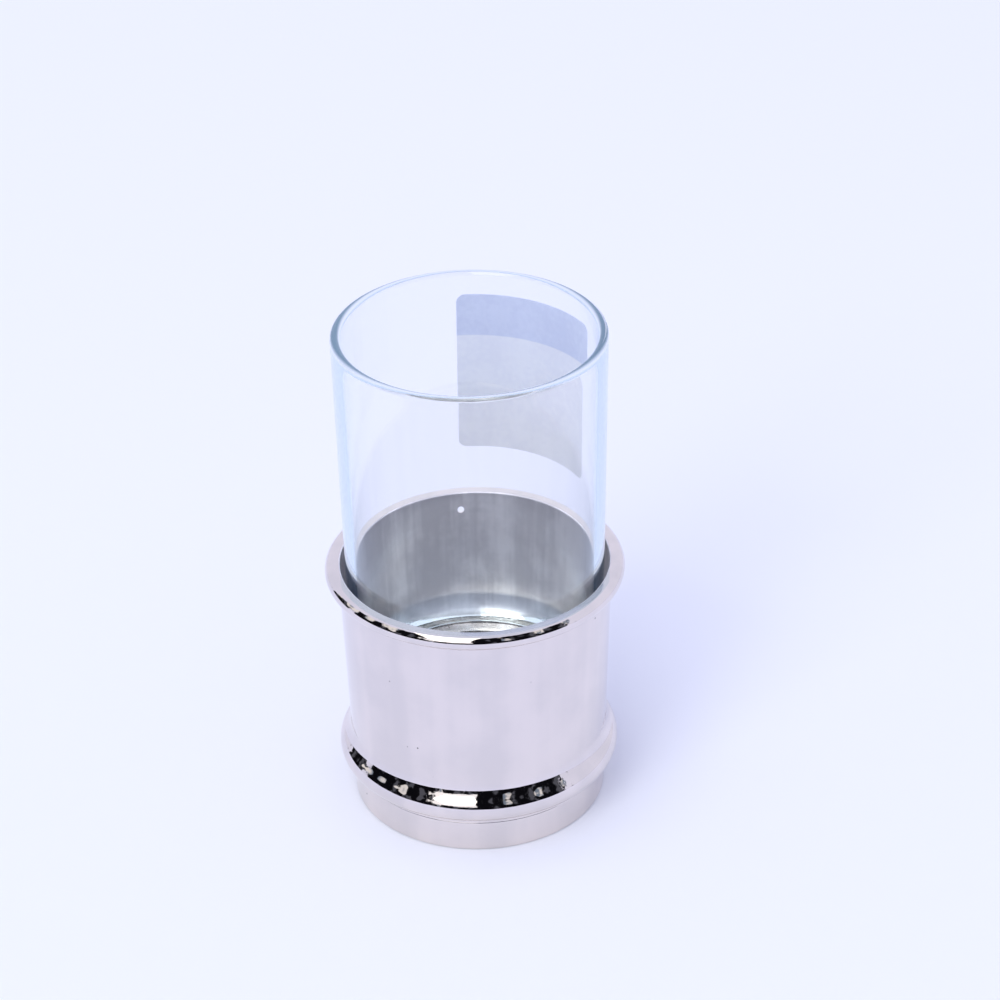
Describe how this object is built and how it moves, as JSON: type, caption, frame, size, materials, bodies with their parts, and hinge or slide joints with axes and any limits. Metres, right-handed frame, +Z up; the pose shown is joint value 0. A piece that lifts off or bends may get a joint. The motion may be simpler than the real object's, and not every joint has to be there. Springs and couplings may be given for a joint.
{
  "type": "tea glass in a metal holder",
  "caption": "Straight clear tea glass with a heavy base that stands in a handle-less, nickel-plated sleeve holder with a rolled rim and a half-round bead above the foot.",
  "frame": {"origin": "centre of the foot on the table", "axes": "+Z up along the axis of the glass, +X to the right and +Y away from the viewer as the picture shows it"},
  "size_m": [0.0602, 0.0602, 0.1048],
  "materials": {
    "clear_glass": "fire-polished, clear with a faint green tint in the base",
    "label_paper": "thin coated paper, blank, with a blue band along the top",
    "polished_nickel": "nickel plate over brass sheet, polished outside and satin inside",
    "iron_wire": "plain drawn wire, closed inside the rolled rim",
    "satin_nickel": "unpolished nickel plate",
    "plated_solder": "soft solder under nickel plate"
  },
  "bodies": {
    "holder": {"holder_sleeve": "polished_nickel", "rim_wire": "iron_wire", "seat_plate": "satin_nickel", "bead_ring": "polished_nickel", "foot_ring": "polished_nickel", "solder_fillets": "plated_solder"},
    "glass": {"glass_tumbler": "clear_glass", "glass_label": "label_paper"}
  },
  "joints": [
    {"name": "glass_lift", "type": "slide", "parent": "holder", "child": "glass", "axis": [0, 0, 1], "range_m": [0, 0.045]}
  ]
}
